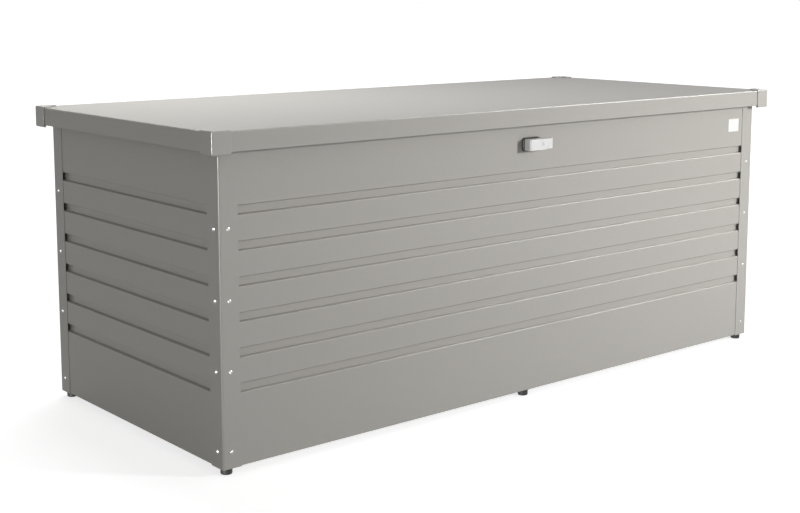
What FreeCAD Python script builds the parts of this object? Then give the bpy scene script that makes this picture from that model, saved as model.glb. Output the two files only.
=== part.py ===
import FreeCAD, Part
import math
import os

# Storage chest for cushions, built from folded and rolled steel sheet: a base frame on six feet,
# four grooved walls joined by corner posts, and a deep-rimmed lid on rear hinges and gas struts.
# Millimetres. +X is the long way and to the right, the front faces -Y, +Z is up, floor at Z = 0.

# Walls and posts
body_length = 1750.0
body_depth = 735.0
post_flange = 45.0
post_sheet = 1.2
post_bend = 2.8
post_overhang = 1.0
post_top_gap = 1.0
wall_sheet = 0.8
wall_bend = 1.2
wall_bottom = 16.0
wall_top = 697.0
wall_end_gap = 0.2
side_wall_gap = 1.0
top_flange = 14.0
top_lip = 12.0
bottom_flange = 30.0
flange_gap = 1.5

# Grooves rolled into every wall
groove_count = 6
groove_pitch = 73.4
groove_drop = 140.0
groove_height = 19.6
groove_depth = 8.0
groove_draft = 1.6

# Screws of the posts
screw_inset = 21.5
screw_head_radius = 4.3
screw_crown_radius = 2.6
screw_head_height = 2.4
screw_facets = 8
lowest_screw_rise = 34.0

# Base frame and floor
rail_height = 40.0
rail_sheet = 1.5
rail_bend = 1.5
rail_gap = 0.5
crossbar_width = 60.0
floor_sheet = 1.0
floor_gap = 1.0
rib_count = 7
rib_width = 46.0
rib_height = 5.0
rib_draft = 5.0

# Feet
glide_inset = 19.0
glide_radius = 12.5
glide_rim_radius = 15.5
glide_rim = 2.0
glide_chamfer = 1.8
glide_facets = 20

# Stiffeners behind the grooves
stiffener_x = 290.0
stiffener_width = 60.0
stiffener_web = 30.0
stiffener_depth = 12.0
stiffener_sheet = 1.2
stiffener_floor_gap = 2.0
stiffener_rise = 18.0
hat_draft = 2.0

# Lid
lid_side_overhang = 27.5
lid_front_overhang = 25.0
lid_rise = 13.0
lid_sheet = 0.8
rim_height = 42.0
rim_hem = 8.0
lid_edge_round = 3.0
lid_rail_inset = 275.0
lid_rail_front_gap = 17.5
lid_rail_rear_gap = 40.5
lid_rail_height = 20.0
lid_rail_sheet = 1.2

# Corner caps of the lid
cap_leg = 45.0
cap_wall = 2.5
cap_drop = 5.0
cap_top_width = 22.0
cap_hem = 3.5
cap_round = 4.0

# Rubber section between walls and lid
seal_width = 9.0
seal_inset = 0.5
seal_gap = 0.3
seal_round = 3.0

# Hinges
hinge_inset = 225.0
hinge_width = 120.0
hinge_knuckles = 3
hinge_knuckle_gap = 0.4
hinge_sheet = 2.0
hinge_knuckle_radius = 5.0
hinge_pin_radius = 3.0
hinge_pin_clearance = 0.05
hinge_pin_overhang = 2.0
hinge_leaf_height = 50.0
hinge_lid_leaf_gap = 7.2
hinge_notch_gap = 0.7

# Gas struts, in a plane inside each side wall
strut_inset = 27.0
strut_wall_inset = 100.5
strut_wall_drop = 260.0
strut_lid_arm = 81.3
strut_eye_width = 8.0
strut_eye_radius = 8.0
strut_stud_radius = 4.0
strut_stud_clearance = 0.05
strut_side_gap = 0.3
strut_stud_head = 3.0
strut_stud_head_radius = 6.0
strut_shoulder_radius = 7.0
barrel_radius = 9.0
barrel_start = 12.0
barrel_end = 164.0
barrel_floor = 6.0
strut_rod_radius = 4.0
strut_rod_clearance = 0.05
strut_rod_start = 24.0
lid_eye_hole_radius = 3.1
bracket_sheet = 2.5
bracket_bend = 1.5
wall_bracket_width = 30.0
wall_bracket_height = 42.0
lid_bracket_width = 30.0
lid_bracket_reach = 28.0
lid_bracket_tail = 10.0

# Lock: pivot in the front wall, handle outside, cam and two sliding rods inside
lock_x = -3.0
lock_drop = 46.5
rosette_width = 56.0
rosette_height = 33.0
rosette_thickness = 5.7
rosette_round = 8.0
handle_reach = 27.7
handle_height = 26.0
handle_short_end = 26.0
handle_long_end = 50.0
handle_hub_end = 27.0
lever_thickness = 10.0
lever_rise = 1.5
handle_groove = 3.0
handle_groove_depth = 1.6
handle_gap = 0.4
handle_round = 4.0
handle_edge_chamfer = 1.0
neck_radius = 10.0
spindle_radius = 5.0
spindle_square = 7.0
spindle_hole_gap = 0.5
pivot_clearance = 0.1
cylinder_offset = 17.0
cylinder_radius = 9.2
cylinder_proud = 0.5
cylinder_depth = 14.0
keyway_width = 1.8
keyway_height = 8.0
keyway_depth = 6.0
lock_body_width = 50.0
lock_body_height = 44.0
lock_body_plate = 3.0
lock_boss = 26.0
lock_body_depth = 20.0
cam_throw = 16.0
cam_thickness = 3.5
cam_arm_radius = 8.0
cam_gap = 0.3
cam_pin_radius = 3.0
rod_gap = 1.7
rod_thickness = 4.0
rod_height = 14.0
rod_shoulder = 38.0
rod_slot_clearance = 0.6
rod_eye_wall = 6.0
rod_neck = 9.3
eye_round = 4.0
guide_inset = 40.0
guide_height = 35.0
guide_foot = 20.0
guide_clearance = 0.3
guide_rim = 5.0
catch_width = 18.0
catch_foot = 15.0
catch_tail = 15.5
catch_clearance = 2.0
catch_gap = 4.0

# Bare plate on the front wall
badge_inset = 85.0
badge_drop = 51.5
badge_width = 46.0
badge_height = 35.0
badge_thickness = 1.0
badge_round = 2.5

# Working allowances: how far a cut runs past the solid, and how closely an edge is picked
over = 1.0
near = 0.01

# Planes that follow from the driving dimensions
front_land = body_depth / 2 - post_sheet
side_land = body_length / 2 - post_sheet
front_inner = front_land - wall_sheet
side_inner = side_land - wall_sheet
front_wall_half = side_land - post_bend - wall_end_gap
side_wall_half = front_land - groove_depth - wall_sheet - side_wall_gap
post_bottom = wall_bottom - post_overhang
post_top = wall_top - post_top_gap
groove_tops = [wall_top - groove_drop - i * groove_pitch for i in range(groove_count)]
screw_levels = [top - (groove_height + groove_pitch) / 2 for top in groove_tops[::2]]
screw_levels.append(wall_bottom + lowest_screw_rise)
rail_bottom = wall_bottom + wall_sheet
floor_bottom = rail_bottom + rail_height
stiffener_bottom = floor_bottom + rib_height + floor_sheet + stiffener_floor_gap
stiffener_top = groove_tops[0] + stiffener_rise
lid_length = body_length + 2 * lid_side_overhang
lid_depth = body_depth + 2 * lid_front_overhang
lid_top = wall_top + lid_rise
rim_bottom = lid_top - rim_height
lid_under = lid_top - lid_sheet
lid_rail_x = body_length / 2 - lid_rail_inset
lid_rail_front = -(front_inner - lid_rail_front_gap)
lid_rail_rear = front_inner - lid_rail_rear_gap
hinge_x = body_length / 2 - hinge_inset
hinge_y = front_land + hinge_knuckle_radius
hinge_z = rim_bottom
strut_x = side_inner - strut_inset
strut_wall_y = front_inner - strut_wall_inset
strut_wall_z = wall_top - strut_wall_drop
strut_lid_y = hinge_y - strut_lid_arm
strut_lid_z = hinge_z
glide_x = body_length / 2 - glide_inset
glide_y = body_depth / 2 - glide_inset
body_rear_of_lock = front_inner - lock_body_depth
cam_front = body_rear_of_lock - cam_gap
cam_rear = cam_front - cam_thickness
rod_front = cam_rear - rod_gap
rod_rear = rod_front - rod_thickness
rod_tip = lid_rail_x - bracket_sheet / 2 - catch_gap
lock_z = rim_bottom - lock_drop
handle_front = front_land + handle_reach
guide_x = lid_rail_x - guide_inset
badge_x = body_length / 2 - badge_inset
badge_z = rim_bottom - badge_drop


def vector(x, y, z):
    return FreeCAD.Vector(x, y, z)


def box(x0, x1, y0, y1, z0, z1):
    return Part.makeBox(x1 - x0, y1 - y0, z1 - z0, vector(x0, y0, z0))


def rod_x(radius, x0, x1, y, z):
    return Part.makeCylinder(radius, x1 - x0, vector(x0, y, z), vector(1, 0, 0))


def rod_y(radius, y0, y1, x, z):
    return Part.makeCylinder(radius, y1 - y0, vector(x, y0, z), vector(0, 1, 0))


def rod_z(radius, z0, z1, x, y):
    return Part.makeCylinder(radius, z1 - z0, vector(x, y, z0), vector(0, 0, 1))


def mirror_x(shape):
    return shape.mirror(vector(0, 0, 0), vector(1, 0, 0))


def mirror_y(shape):
    return shape.mirror(vector(0, 0, 0), vector(0, 1, 0))


def turned(shape, degrees):
    copy = shape.copy()
    copy.rotate(vector(0, 0, 0), vector(0, 0, 1), degrees)
    return copy


def rounded_face(points, radii, place):
    """Face inside a closed outline of 2-D points, each corner rounded by its radius."""
    edges = []
    starts = []
    ends = []
    count = len(points)
    for i in range(count):
        here = points[i]
        before = points[i - 1]
        after = points[(i + 1) % count]
        to_before = (before[0] - here[0], before[1] - here[1])
        to_after = (after[0] - here[0], after[1] - here[1])
        length_before = math.hypot(*to_before)
        length_after = math.hypot(*to_after)
        b = (to_before[0] / length_before, to_before[1] / length_before)
        a = (to_after[0] / length_after, to_after[1] / length_after)
        opening = math.acos(max(-1.0, min(1.0, a[0] * b[0] + a[1] * b[1])))
        radius = radii[i]
        if radius <= 0:
            starts.append(here)
            ends.append(here)
            edges.append(None)
            continue
        tangent = radius / math.tan(opening / 2)
        middle = (a[0] + b[0], a[1] + b[1])
        scale = (radius / math.sin(opening / 2) - radius) / math.hypot(*middle)
        start = (here[0] + b[0] * tangent, here[1] + b[1] * tangent)
        end = (here[0] + a[0] * tangent, here[1] + a[1] * tangent)
        crown = (here[0] + middle[0] * scale, here[1] + middle[1] * scale)
        starts.append(start)
        ends.append(end)
        edges.append(Part.Arc(place(*start), place(*crown), place(*end)).toShape())
    outline = []
    for i in range(count):
        if edges[i] is not None:
            outline.append(edges[i])
        outline.append(Part.makeLine(place(*ends[i]), place(*starts[(i + 1) % count])))
    return Part.Face(Part.Wire(outline))


def folded_face(path, sheet, bends, side, place):
    """Section of a folded sheet: path is one surface, side +1 puts the sheet on its left.

    bends is the inner radius at each point of the path, and 0 keeps a fold sharp.
    """
    directions = []
    for p, q in zip(path, path[1:]):
        length = math.hypot(q[0] - p[0], q[1] - p[1])
        directions.append(((q[0] - p[0]) / length, (q[1] - p[1]) / length))
    far = []
    near_radii = []
    far_radii = []
    for i, p in enumerate(path):
        d = directions[max(i - 1, 0)]
        e = directions[min(i, len(directions) - 1)]
        normal = (-side * (d[1] + e[1]), side * (d[0] + e[0]))
        scale = sheet / (1 + d[0] * e[0] + d[1] * e[1])
        far.append((p[0] + normal[0] * scale, p[1] + normal[1] * scale))
        turn = side * (d[0] * e[1] - d[1] * e[0])
        inner = bends[i]
        outer = inner + sheet if inner > 0 else 0
        near_radii.append(outer if turn > 0 else inner)
        far_radii.append(inner if turn > 0 else outer)
    return rounded_face(path + far[::-1], near_radii + far_radii[::-1], place)


def angle_bends(bend):
    """Bends of a path with one fold."""
    return [0, bend, 0]


def channel_bends(bend):
    """Bends of a path with two folds."""
    return [0, bend, bend, 0]


def plate_face(x0, x1, z0, z1, radius, y):
    """Rounded rectangle that stands in a plane of constant Y."""
    points = [(x0, z0), (x1, z0), (x1, z1), (x0, z1)]
    return rounded_face(points, [radius] * 4, lambda x, z: vector(x, y, z))


def four_corners(shape):
    """The rear right shape and its three mirror images, by the name of their corner."""
    front_right = mirror_y(shape)
    return {
        "rear_right": shape,
        "rear_left": mirror_x(shape),
        "front_right": front_right,
        "front_left": mirror_x(front_right),
    }


def faceted_turning(profile, sides):
    """Small turned shape with flat sides, one ring of corners for each (radius, height)."""
    rings = []
    for radius, z in profile:
        corners = []
        for i in range(sides + 1):
            angle = 2 * math.pi * i / sides
            corners.append(vector(radius * math.cos(angle), radius * math.sin(angle), z))
        rings.append(corners)
    outlines = [rings[0], rings[-1]]
    for low, high in zip(rings, rings[1:]):
        for i in range(sides):
            outlines.append([low[i], low[i + 1], high[i + 1], high[i], low[i]])
    faces = [Part.Face(Part.makePolygon(outline)) for outline in outlines]
    return Part.makeSolid(Part.makeShell(faces))


def post_screw():
    """Head of a self-drilling screw, on the origin with its crown up."""
    profile = [(screw_head_radius, 0), (screw_crown_radius, screw_head_height)]
    return faceted_turning(profile, screw_facets)


def post_screw_places():
    """Point on each post flange and the way out of it, for every screw."""
    places = []
    for sx in (-1, 1):
        for sy in (-1, 1):
            for z in screw_levels:
                along_x = sx * (body_length / 2 - screw_inset)
                along_y = sy * (body_depth / 2 - screw_inset)
                places.append((vector(along_x, sy * body_depth / 2, z), vector(0, sy, 0)))
                places.append((vector(sx * body_length / 2, along_y, z), vector(sx, 0, 0)))
    return places


def wall(land, half_length, ends_clear):
    """Grooved wall with folded top and bottom edges, as it stands at the front."""
    path = [(-top_flange, wall_top - top_lip), (-top_flange, wall_top), (0, wall_top)]
    bends = [0, 0, wall_bend]
    for top in groove_tops:
        low = top - groove_height
        path += [(0, top), (-groove_depth, top - groove_draft)]
        path += [(-groove_depth, low + groove_draft), (0, low)]
        bends += [wall_bend, 0, 0, wall_bend]
    path += [(0, wall_bottom), (-bottom_flange, wall_bottom)]
    bends += [wall_bend, 0]
    section = folded_face(path, wall_sheet, bends, -1, lambda w, z: vector(-half_length, -land - w, z))
    panel = section.extrude(vector(2 * half_length, 0, 0))
    if ends_clear:
        inner = -land + wall_sheet
        top_half = half_length - top_flange + groove_depth
        low_half = half_length - bottom_flange + groove_depth
        for side in (-1, 1):
            x0, x1 = sorted((side * (top_half - flange_gap), side * (half_length + over)))
            low = wall_top - top_lip - over
            panel = panel.cut(box(x0, x1, inner, inner + top_flange, low, wall_top + over))
            x0, x1 = sorted((side * (low_half - flange_gap), side * (half_length + over)))
            low = wall_bottom - over
            panel = panel.cut(box(x0, x1, inner, inner + bottom_flange, low, rail_bottom + near))
    return panel


def glide_places():
    """Corner and middle places of the six feet, by name."""
    rows = {"front": -glide_y, "rear": glide_y}
    columns = {"left": -glide_x, "middle": 0.0, "right": glide_x}
    return {row + "_" + column: (x, y) for row, y in rows.items() for column, x in columns.items()}


def make_walls():
    radius = spindle_radius + spindle_hole_gap
    spindle_hole = rod_y(radius, -front_land - over, -front_inner + over, lock_x, lock_z)
    long_wall = wall(front_land, front_wall_half, False)
    side_wall = wall(side_land, side_wall_half, True)
    return {
        "front_panel": long_wall.cut(spindle_hole),
        "rear_panel": turned(long_wall, 180),
        "left_panel": turned(side_wall, -90),
        "right_panel": turned(side_wall, 90),
    }


def make_posts():
    x = body_length / 2
    y = body_depth / 2
    path = [(x, y - post_flange), (x, y), (x - post_flange, y)]
    section = folded_face(path, post_sheet, angle_bends(post_bend), 1,
                          lambda x, y: vector(x, y, post_bottom))
    post = section.extrude(vector(0, 0, post_top - post_bottom))
    return {"corner_post_" + name: shape for name, shape in four_corners(post).items()}


def make_post_screws():
    screws = []
    for point, out in post_screw_places():
        screw = post_screw()
        screw.Placement = FreeCAD.Placement(point, FreeCAD.Rotation(vector(0, 0, 1), out))
        screws.append(screw)
    return {"post_screws": Part.makeCompound(screws)}


def base_rail(outer, half_length):
    """Channel along X whose web stands against the front wall."""
    low = rail_bottom
    high = rail_bottom + rail_height
    path = [(outer - bottom_flange, low), (outer, low), (outer, high), (outer - bottom_flange, high)]
    section = folded_face(path, rail_sheet, channel_bends(rail_bend), 1,
                          lambda w, z: vector(-half_length, -w, z))
    return section.extrude(vector(2 * half_length, 0, 0))


def make_base_frame():
    long_rail = base_rail(front_inner, front_wall_half)
    reach = front_inner - bottom_flange - rail_gap
    short_rail = base_rail(side_inner, reach)
    half = crossbar_width / 2
    low = rail_bottom
    high = rail_bottom + rail_height
    path = [(-half, low), (-half, high), (half, high), (half, low)]
    section = folded_face(path, rail_sheet, channel_bends(rail_bend), -1, lambda x, z: vector(x, -reach, z))
    return {
        "base_rail_front": long_rail,
        "base_rail_rear": turned(long_rail, 180),
        "base_rail_left": turned(short_rail, -90),
        "base_rail_right": turned(short_rail, 90),
        "base_crossbar": section.extrude(vector(0, 2 * reach, 0)),
    }


def make_floor():
    """Two sheets with raised ribs across, which lie on the base rails."""
    start = floor_gap / 2
    end = front_wall_half
    pitch = (end - start) / rib_count
    path = [(start, floor_bottom)]
    for i in range(rib_count):
        middle = start + (i + 0.5) * pitch
        left = middle - rib_width / 2
        right = middle + rib_width / 2
        high = floor_bottom + rib_height
        path += [(left, floor_bottom), (left + rib_draft, high)]
        path += [(right - rib_draft, high), (right, floor_bottom)]
    path.append((end, floor_bottom))
    half = front_inner - floor_gap
    section = folded_face(path, floor_sheet, [0] * len(path), 1, lambda x, z: vector(x, -half, z))
    right_panel = section.extrude(vector(0, 2 * half, 0))
    return {"floor_panel_right": right_panel, "floor_panel_left": mirror_x(right_panel)}


def make_glides():
    """Moulded feet with a rim at the top, under the folded edge of the long walls."""
    rim_low = wall_bottom - glide_rim
    shank = [(glide_radius - glide_chamfer, 0), (glide_radius, glide_chamfer), (glide_radius, rim_low)]
    rim = [(glide_rim_radius, rim_low), (glide_rim_radius, wall_bottom)]
    foot = faceted_turning(shank, glide_facets).fuse(faceted_turning(rim, glide_facets)).removeSplitter()
    return {"glide_" + name: foot.translated(vector(x, y, 0)) for name, (x, y) in glide_places().items()}


def hat_path(width, web, depth, start):
    """Outline of a hat section, its flanges at start and its web further on."""
    end = start + depth
    return [(-width / 2, start), (-web / 2 - hat_draft, start), (-web / 2, end),
            (web / 2, end), (web / 2 + hat_draft, start), (width / 2, start)]


def make_stiffeners():
    start = -front_inner + groove_depth
    path = hat_path(stiffener_width, stiffener_web, stiffener_depth, start)
    section = folded_face(path, stiffener_sheet, [0] * len(path), 1,
                          lambda x, y: vector(x, y, stiffener_bottom))
    front = section.extrude(vector(0, 0, stiffener_top - stiffener_bottom))
    parts = {}
    for side, x in (("left", -stiffener_x), ("right", stiffener_x)):
        parts["wall_stiffener_front_" + side] = front.translated(vector(x, 0, 0))
        parts["wall_stiffener_rear_" + side] = mirror_y(front).translated(vector(x, 0, 0))
    return parts


def seal_strip(outer, half_length):
    """Length of rubber section on the front wall, rounded along its top."""
    inner = outer - seal_width
    top = lid_under - seal_gap
    points = [(-outer, wall_top), (-inner, wall_top), (-inner, top), (-outer, top)]
    section = rounded_face(points, [0, 0, seal_round, seal_round], lambda y, z: vector(-half_length, y, z))
    return section.extrude(vector(2 * half_length, 0, 0))


def make_seal():
    """Four lengths, butted at the corners."""
    half_x = side_land - seal_inset
    half_y = front_land - seal_inset
    long_strip = seal_strip(half_y, half_x)
    short_strip = seal_strip(half_x, half_y - seal_width)
    strips = [long_strip, turned(short_strip, 90), turned(long_strip, 180), turned(short_strip, -90)]
    return {"rim_seal": Part.makeCompound(strips)}


def lid_block(half_x, half_y, z0, z1, edge):
    """Block with a rounded top edge."""
    block = box(-half_x, half_x, -half_y, half_y, z0, z1)
    rim = [e for e in block.Edges if e.BoundBox.ZMin > z1 - near]
    return block.makeFillet(edge, rim)


def make_lid():
    half_x = lid_length / 2
    half_y = lid_depth / 2
    outer = lid_block(half_x, half_y, rim_bottom, lid_top, lid_edge_round)
    inner_x = half_x - lid_sheet
    inner_y = half_y - lid_sheet
    lid = outer.cut(lid_block(inner_x, inner_y, rim_bottom - over, lid_under, lid_edge_round - lid_sheet))
    hem = box(-inner_x, inner_x, -inner_y, inner_y, rim_bottom, rim_bottom + lid_sheet)
    hem_x = inner_x - rim_hem
    hem_y = inner_y - rim_hem
    hem = hem.cut(box(-hem_x, hem_x, -hem_y, hem_y, rim_bottom - over, rim_bottom + lid_sheet + over))
    parts = {"lid_panel": lid.fuse(hem).removeSplitter()}
    path = hat_path(stiffener_width, stiffener_web, lid_sheet - lid_rail_height, lid_under)
    section = folded_face(path, lid_rail_sheet, [0] * len(path), -1,
                          lambda x, z: vector(x, lid_rail_front, z))
    rail = section.extrude(vector(0, lid_rail_rear - lid_rail_front, 0))
    for name, x in (("left", -lid_rail_x), ("middle", 0.0), ("right", lid_rail_x)):
        parts["lid_rail_" + name] = rail.translated(vector(x, 0, 0))
    return parts


def make_lid_caps():
    """Moulded corner caps that wrap the lid's top edge, rim and hem."""
    x = lid_length / 2
    y = lid_depth / 2
    outer_x = x + cap_wall
    outer_y = y + cap_wall
    low = rim_bottom - cap_drop
    high = lid_top + cap_wall
    block = box(outer_x - cap_leg, outer_x, outer_y - cap_leg, outer_y, low, high)
    rounded = []
    for edge in block.Edges:
        on_outside = (edge.BoundBox.XMin > outer_x - near, edge.BoundBox.YMin > outer_y - near)
        if all(on_outside) or (any(on_outside) and edge.BoundBox.ZLength < near):
            rounded.append(edge)
    block = block.makeFillet(cap_round, rounded)
    lid_space = box(0, x, 0, y, rim_bottom, lid_top)
    top_space = box(0, outer_x - cap_top_width, 0, outer_y - cap_top_width, lid_top - over, high + over)
    hem_space = box(0, x - cap_hem, 0, y - cap_hem, low - over, rim_bottom + over)
    cap = block.cut(lid_space).cut(top_space).cut(hem_space)
    return {"lid_cap_" + name: shape for name, shape in four_corners(cap).items()}


def knuckle_spans(first):
    """Ranges along a hinge that belong to one leaf: every other knuckle from the given one."""
    width = hinge_width / hinge_knuckles
    spans = []
    for i in range(first, hinge_knuckles, 2):
        left = -hinge_width / 2 + i * width
        spans.append((left + hinge_knuckle_gap / 2, left + width - hinge_knuckle_gap / 2))
    return spans


def make_hinges():
    reach = hinge_knuckle_radius + hinge_notch_gap
    half = hinge_width / 2
    bore = rod_x(hinge_pin_radius + hinge_pin_clearance, -half - over, half + over, hinge_y, hinge_z)
    wall_leaf = box(-half, half, front_land, front_land + hinge_sheet, hinge_z - hinge_leaf_height, hinge_z)
    lid_inner = lid_depth / 2 - lid_sheet
    level = hinge_z + hinge_knuckle_radius
    lid_leaf = box(-half, half, hinge_y, lid_inner, level - hinge_sheet, level)
    lid_leaf = lid_leaf.fuse(box(-half, half, lid_inner - hinge_sheet, lid_inner, level - hinge_sheet,
                                 lid_under - hinge_lid_leaf_gap))
    wall_spans = knuckle_spans(0)
    lid_spans = knuckle_spans(1)
    gap = hinge_knuckle_gap
    for left, right in lid_spans:
        wall_leaf = wall_leaf.cut(box(left - gap, right + gap, 0, hinge_y, hinge_z - reach, hinge_z + over))
    for left, right in wall_spans:
        lid_leaf = lid_leaf.cut(box(left - gap, right + gap, 0, hinge_y + reach, hinge_z, level + over))
    for left, right in wall_spans:
        wall_leaf = wall_leaf.fuse(rod_x(hinge_knuckle_radius, left, right, hinge_y, hinge_z))
    for left, right in lid_spans:
        lid_leaf = lid_leaf.fuse(rod_x(hinge_knuckle_radius, left, right, hinge_y, hinge_z))
    wall_leaf = wall_leaf.cut(bore).removeSplitter()
    lid_leaf = lid_leaf.cut(bore).removeSplitter()
    pin_half = half + hinge_pin_overhang
    pin = rod_x(hinge_pin_radius, -pin_half, pin_half, hinge_y, hinge_z)
    parts = {}
    pins = []
    for side, x in (("left", -hinge_x), ("right", hinge_x)):
        parts["hinge_leaf_wall_" + side] = wall_leaf.translated(vector(x, 0, 0))
        parts["hinge_leaf_lid_" + side] = lid_leaf.translated(vector(x, 0, 0))
        pins.append(pin.translated(vector(x, 0, 0)))
    parts["hinge_pins"] = Part.makeCompound(pins)
    return parts


def strut_line():
    """Length of the closed strut and its angle above the Y axis."""
    dy = strut_lid_y - strut_wall_y
    dz = strut_lid_z - strut_wall_z
    return math.hypot(dy, dz), math.degrees(math.atan2(dz, dy))


def along_strut(shape):
    """Moves a shape drawn along +Z from the wall pivot onto the strut's line."""
    angle = strut_line()[1]
    copy = shape.copy()
    copy.rotate(vector(0, 0, 0), vector(1, 0, 0), angle - 90)
    return copy.translated(vector(strut_x, strut_wall_y, strut_wall_z))


def make_struts():
    """Right strut with its barrel, rod and two brackets, and its mirror image."""
    half = strut_eye_width / 2
    length = strut_line()[0]
    eye = strut_eye_radius
    barrel = rod_z(barrel_radius, barrel_start, barrel_end, 0, 0)
    barrel = barrel.cut(rod_z(strut_rod_radius + strut_rod_clearance, barrel_start + barrel_floor,
                              barrel_end + over, 0, 0))
    tang = rounded_face([(-eye, -eye), (eye, -eye), (eye, barrel_start), (-eye, barrel_start)],
                        [eye_round, eye_round, 0, 0], lambda y, z: vector(-half, y, z))
    barrel = barrel.fuse(tang.extrude(vector(strut_eye_width, 0, 0)))
    barrel = barrel.cut(rod_x(strut_stud_radius + strut_stud_clearance, -half - over, half + over, 0, 0))
    low = length - eye
    high = length + eye
    tang = rounded_face([(-eye, low), (eye, low), (eye, high), (-eye, high)], [0, 0, eye_round, eye_round],
                        lambda y, z: vector(-half, y, z))
    rod = rod_z(strut_rod_radius, strut_rod_start, length - eye, 0, 0)
    rod = rod.fuse(tang.extrude(vector(strut_eye_width, 0, 0)))
    rod = rod.cut(rod_x(lid_eye_hole_radius, -half - over, half + over, 0, length))

    plate_x = side_inner - bracket_sheet
    eye_outer = strut_x + half
    eye_inner = strut_x - half
    y = strut_wall_y
    z = strut_wall_z
    wall_bracket = box(plate_x, side_inner, y - wall_bracket_width / 2, y + wall_bracket_width / 2,
                       z - wall_bracket_height / 2, z + wall_bracket_height / 2)
    corners = [e for e in wall_bracket.Edges if e.BoundBox.XLength > bracket_sheet / 2]
    wall_bracket = wall_bracket.makeChamfer(bracket_bend * 2, corners)
    wall_bracket = wall_bracket.fuse(rod_x(strut_shoulder_radius, eye_outer + strut_side_gap, plate_x, y, z))
    head = eye_inner - strut_side_gap
    wall_bracket = wall_bracket.fuse(rod_x(strut_stud_radius, head, plate_x, y, z))
    wall_bracket = wall_bracket.fuse(rod_x(strut_stud_head_radius, head - strut_stud_head, head, y, z))

    face = eye_outer + strut_side_gap + bracket_sheet
    path = [(face - lid_bracket_reach, lid_under), (face, lid_under), (face, strut_lid_z - lid_bracket_tail)]
    front = strut_lid_y - lid_bracket_width / 2
    section = folded_face(path, bracket_sheet, angle_bends(bracket_bend), -1,
                          lambda x, v: vector(x, front, v))
    lid_bracket = section.extrude(vector(0, lid_bracket_width, 0))
    right = {
        "gas_strut_barrel": along_strut(barrel),
        "gas_strut_rod": along_strut(rod),
        "strut_bracket_wall": wall_bracket,
        "strut_bracket_lid": lid_bracket,
    }
    parts = {}
    for name, shape in right.items():
        parts[name + "_right"] = shape
        parts[name + "_left"] = mirror_x(shape)
    return parts


def make_lock_outside():
    """Rosette on the wall, lever handle with its spindle, and the key cylinder in the handle."""
    half_width = rosette_width / 2
    half_height = rosette_height / 2
    rosette_front = -front_land - rosette_thickness
    plate = plate_face(lock_x - half_width, lock_x + half_width, lock_z - half_height, lock_z + half_height,
                       rosette_round, rosette_front)
    rosette = plate.extrude(vector(0, rosette_thickness, 0))
    rosette = rosette.cut(rod_y(neck_radius + pivot_clearance, rosette_front - over, -front_land + over,
                                lock_x, lock_z))

    back = rosette_front - handle_gap
    low = lock_z - handle_height / 2
    left = lock_x - handle_short_end
    right = lock_x + handle_long_end
    hub = lock_x + handle_hub_end
    lever_back = -handle_front + lever_thickness
    outline = [(left, -handle_front), (right, -handle_front), (right, lever_back), (hub, lever_back),
               (hub, back), (left, back)]
    radii = [handle_round, handle_round, handle_round, 0, handle_round / 2, handle_round / 2]
    profile = rounded_face(outline, radii, lambda x, y: vector(x, y, low))
    handle = profile.extrude(vector(0, 0, handle_height))
    edges = [e for e in handle.Edges if e.BoundBox.ZLength < near]
    handle = handle.makeChamfer(handle_edge_chamfer, edges)
    handle = handle.cut(box(hub, right + over, -handle_front - over, lever_back + over, low - over,
                            low + lever_rise))
    high = low + handle_height
    groove_end = lever_back + handle_groove
    groove = box(left - over, hub + over, lever_back, groove_end, low - over, high + over)
    core = box(left + handle_groove_depth, hub + 2 * over, lever_back - over, groove_end + over,
               low + handle_groove_depth, high - handle_groove_depth)
    handle = handle.cut(groove.cut(core))
    wall_side = -front_land - pivot_clearance
    handle = handle.fuse(rod_y(neck_radius, back - over, wall_side, lock_x, lock_z))
    handle = handle.fuse(rod_y(spindle_radius, back - over, -cam_front - pivot_clearance, lock_x, lock_z))
    half = spindle_square / 2
    handle = handle.fuse(box(lock_x - half, lock_x + half, -cam_front - over, -cam_rear - pivot_clearance,
                             lock_z - half, lock_z + half))
    key_x = lock_x + cylinder_offset
    floor = -handle_front + cylinder_depth
    radius = cylinder_radius + pivot_clearance / 2
    handle = handle.cut(rod_y(radius, -handle_front - over, floor, key_x, lock_z))

    front = -handle_front - cylinder_proud
    cylinder = rod_y(cylinder_radius, front, floor - pivot_clearance, key_x, lock_z)
    rim = [e for e in cylinder.Edges if e.BoundBox.YMax < front + near]
    cylinder = cylinder.makeChamfer(cylinder_proud / 2, rim)
    half_width = keyway_width / 2
    half_height = keyway_height / 2
    cylinder = cylinder.cut(box(key_x - half_width, key_x + half_width, front - over, front + keyway_depth,
                                lock_z - half_height, lock_z + half_height))
    return {"lock_rosette": rosette, "lock_handle": handle, "key_cylinder": cylinder}


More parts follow.
